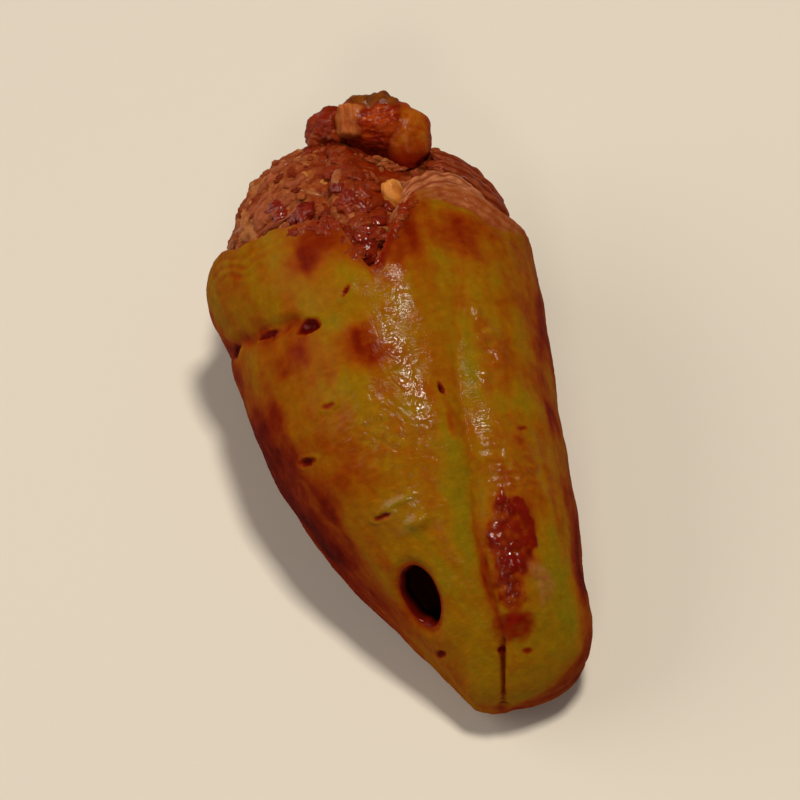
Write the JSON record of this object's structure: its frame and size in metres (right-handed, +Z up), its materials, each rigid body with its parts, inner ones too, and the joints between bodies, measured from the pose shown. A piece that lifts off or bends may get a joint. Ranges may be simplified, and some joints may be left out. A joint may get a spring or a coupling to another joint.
{
  "type": "stuffed bell pepper",
  "caption": "Cooked lobed green pepper lying on its side, cut open at the stem end and stuffed with spiced mince that heaps out of the mouth",
  "frame": {"origin": "centre of the bottom of the bounding box, in the plane of the surface the pepper lies on", "axes": "+Z up, +Y along the pepper from its blossom tip to its stuffed mouth, +X to the right seen from the tip with the pepper lying as served"},
  "size_m": [0.0498, 0.0926, 0.0422],
  "materials": {
    "pepper_skin": "oily, wrinkled",
    "filling": "moist, granular",
    "lump": "moist, glazed"
  },
  "bodies": {
    "root": {"pepper_wall": "pepper_skin", "filling": "filling", "top_lump": "lump"}
  },
  "joints": []
}
